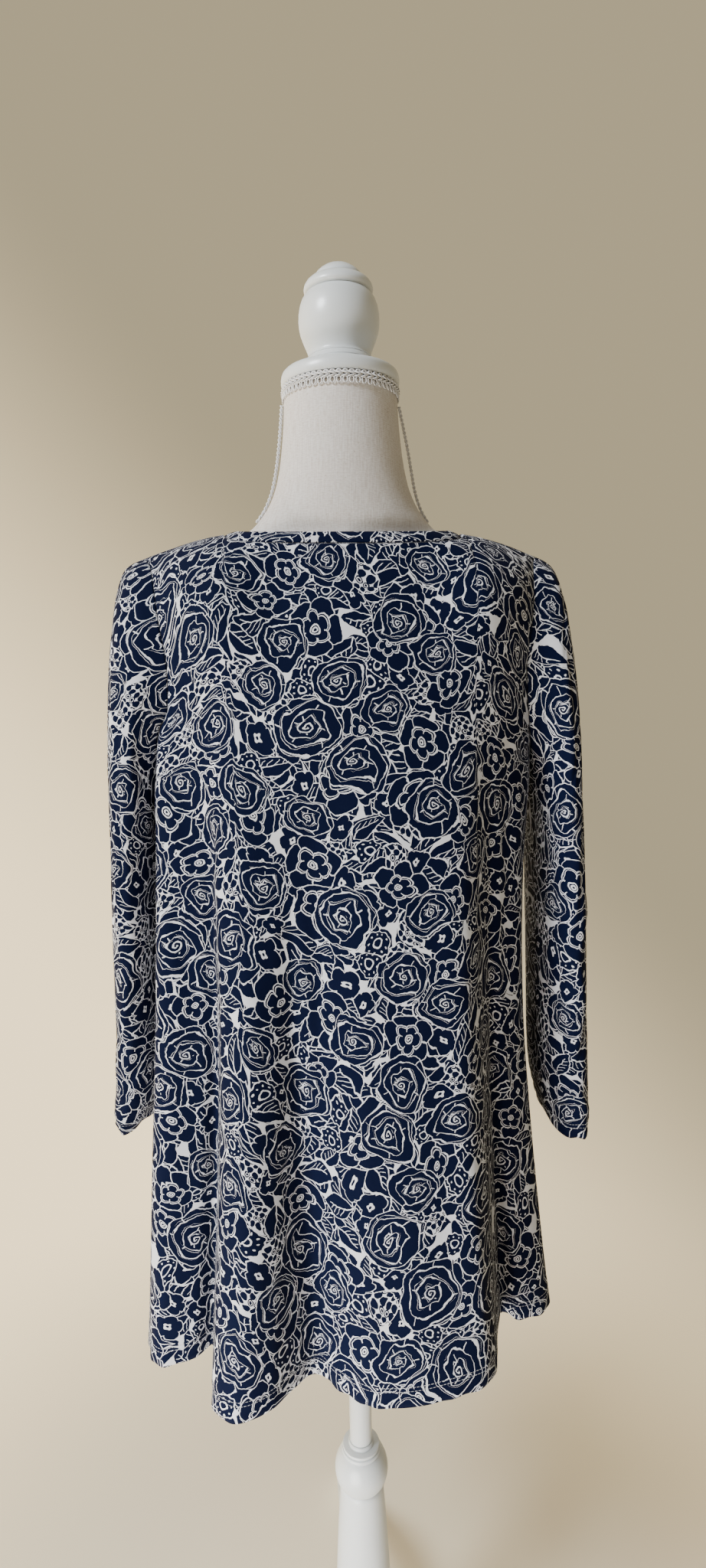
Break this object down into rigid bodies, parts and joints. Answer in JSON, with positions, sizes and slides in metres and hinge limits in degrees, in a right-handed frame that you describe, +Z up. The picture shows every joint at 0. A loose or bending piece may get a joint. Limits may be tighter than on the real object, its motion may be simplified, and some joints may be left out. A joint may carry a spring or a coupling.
{
  "type": "tunic top on dress form",
  "caption": "Printed long-sleeved tunic top with a round neck and flared hem, worn by a limbless white dress form with a trimmed neck, turned finial and wooden stand.",
  "frame": {"origin": "on the floor, below the centre of the bounding box", "axes": "+Z up; the tunic's front looks to -Y and its left side is +X"},
  "size_m": [0.5514, 0.506, 1.685],
  "materials": {
    "printed_cloth": "thin jersey, navy flower print on off-white",
    "form_linen": "off-white woven linen with slubs",
    "white_braid": "white gimp braid and twisted cord",
    "white_paint": "turned wood, satin white paint",
    "white_metal": "satin white"
  },
  "bodies": {
    "root": {"back_panel": "printed_cloth", "front_panel": "printed_cloth", "sleeve_left": "printed_cloth", "sleeve_right": "printed_cloth", "neckband": "printed_cloth", "dress_form": "form_linen", "neck_braid": "white_braid", "neck_cord_left": "white_braid", "neck_cord_right": "white_braid", "neck_cap": "white_paint", "finial": "white_paint", "pole": "white_metal", "stand_column": "white_paint", "leg_1": "white_paint", "leg_2": "white_paint", "leg_3": "white_paint"}
  },
  "joints": []
}
